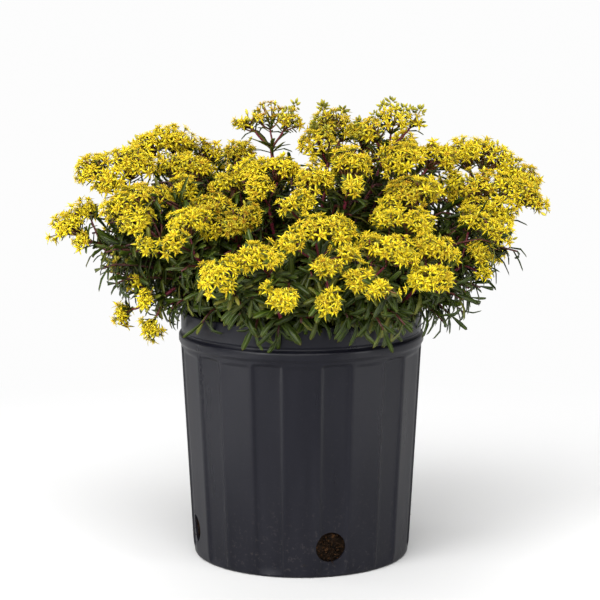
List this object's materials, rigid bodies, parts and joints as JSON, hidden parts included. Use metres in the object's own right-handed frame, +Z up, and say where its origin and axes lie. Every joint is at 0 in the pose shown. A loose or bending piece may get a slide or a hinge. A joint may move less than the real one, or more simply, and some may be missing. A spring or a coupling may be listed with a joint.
{
  "type": "potted lemon sparkle sedum",
  "caption": "Low spreading clump of stonecrop in full yellow flower, in a round black fluted nursery pot with drain holes at its foot.",
  "frame": {"origin": "middle of the pot's flat underside", "axes": "+Z up, -Y towards the front of the pot as pictured, +X to the right along the plant's longest spread"},
  "size_m": [0.3319, 0.2741, 0.3073],
  "materials": {
    "pot_plastic": "blow-moulded black plastic with a satin skin, faint scuffs and dried soil dust near the foot",
    "potting_mix": "moist dark brown mix of bark fines and peat with fibres and pale specks",
    "woody_crown": "rough brown bark on old stem bases",
    "leafy_stem": "smooth fleshy green leaves and stems, softly waxy",
    "red_stem": "smooth dark red flower stalks, greener towards the foot",
    "blossom": "matt bright yellow petals, a little greener in their middles",
    "flower_bud": "smooth green-yellow buds and sepals"
  },
  "bodies": {
    "root": {"flower_head_back_1": "blossom", "flower_head_back_2": "blossom", "flower_head_back_heart_1": "blossom", "flower_head_back_heart_2": "blossom", "flower_head_back_left_1": "blossom", "flower_head_back_left_2": "blossom", "flower_head_back_right_1": "blossom", "flower_head_back_right_2": "blossom", "flower_head_far_left_1": "blossom", "flower_head_far_left_2": "blossom", "flower_head_far_right_1": "blossom", "flower_head_far_right_2": "blossom", "flower_head_front_1": "blossom", "flower_head_front_2": "blossom", "flower_head_front_left_1": "blossom", "flower_head_front_left_2": "blossom", "flower_head_front_middle": "blossom", "flower_head_front_right": "blossom", "flower_head_heart_left_1": "blossom", "flower_head_heart_left_2": "blossom", "flower_head_left_1": "blossom", "flower_head_left_2": "blossom", "flower_head_left_3": "blossom", "flower_head_middle_left": "blossom", "flower_head_middle_right_1": "blossom", "flower_head_middle_right_2": "blossom", "flower_head_right_1": "blossom", "flower_head_right_2": "blossom", "flower_head_top_1": "blossom", "flower_head_top_2": "blossom", "flower_head_top_back": "blossom", "flower_head_top_left_1": "blossom", "flower_head_top_left_2": "blossom", "flower_head_top_right_1": "blossom", "flower_head_top_right_2": "blossom", "flower_head_upper_left_1": "blossom", "flower_head_upper_left_2": "blossom", "nursery_pot": "pot_plastic", "potting_mix": "potting_mix", "root_crown": "woody_crown", "shoot_back": "leafy_stem", "shoot_back_heart": "leafy_stem", "shoot_back_left": "leafy_stem", "shoot_back_right": "leafy_stem", "shoot_far_left": "leafy_stem", "shoot_far_right": "leafy_stem", "shoot_front": "leafy_stem", "shoot_front_left": "leafy_stem", "shoot_front_middle": "leafy_stem", "shoot_front_right": "leafy_stem", "shoot_heart_left": "leafy_stem", "shoot_left": "leafy_stem", "shoot_middle_left": "leafy_stem", "shoot_middle_right": "leafy_stem", "shoot_right": "leafy_stem", "shoot_top": "leafy_stem", "shoot_top_back": "leafy_stem", "shoot_top_left": "leafy_stem", "shoot_top_right": "leafy_stem", "shoot_upper_left": "leafy_stem"}
  },
  "joints": []
}
